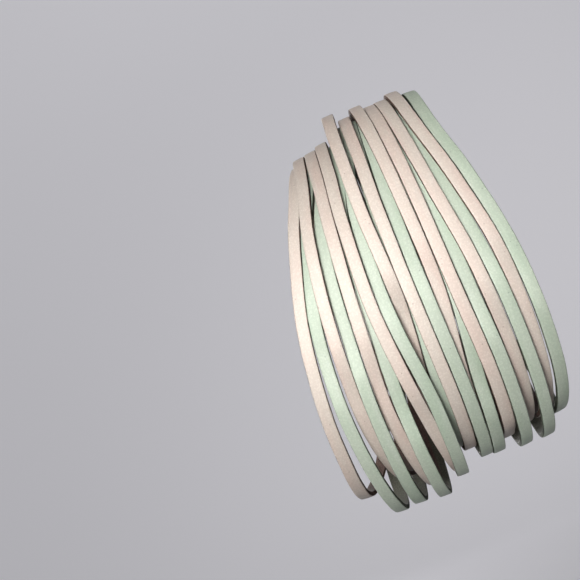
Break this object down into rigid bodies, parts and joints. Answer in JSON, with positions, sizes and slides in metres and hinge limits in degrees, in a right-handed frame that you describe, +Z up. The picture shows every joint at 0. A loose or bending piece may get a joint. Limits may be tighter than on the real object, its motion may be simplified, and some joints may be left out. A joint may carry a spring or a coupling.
{
  "type": "leather strip bracelet",
  "caption": "Wide bracelet of many narrow flat leather strips in two pastel colours, fanned over the front and gathered in a plain clasp bar.",
  "frame": {"origin": "centre of the wrist hole, half way up the loop and under the middle of the front", "axes": "+X along the wrist hole, to the right as seen from the front; -Y towards the front; +Z up, from the foot of the hanging loop to its crown"},
  "size_m": [0.0521, 0.0517, 0.0862],
  "materials": {
    "blush_leather": "satin",
    "mint_leather": "satin",
    "clasp_metal": "satin"
  },
  "bodies": {
    "root": {"blush_strip_1": "blush_leather", "blush_strip_2": "blush_leather", "blush_strip_3": "blush_leather", "blush_strip_4": "blush_leather", "blush_strip_5": "blush_leather", "blush_strip_6": "blush_leather", "blush_strip_7": "blush_leather", "blush_strip_8": "blush_leather", "blush_strip_9": "blush_leather", "blush_strip_10": "blush_leather", "mint_strip_1": "mint_leather", "mint_strip_2": "mint_leather", "mint_strip_3": "mint_leather", "mint_strip_4": "mint_leather", "mint_strip_5": "mint_leather", "mint_strip_6": "mint_leather", "mint_strip_7": "mint_leather", "mint_strip_8": "mint_leather", "mint_strip_9": "mint_leather", "mint_strip_10": "mint_leather", "clasp": "clasp_metal"}
  },
  "joints": []
}
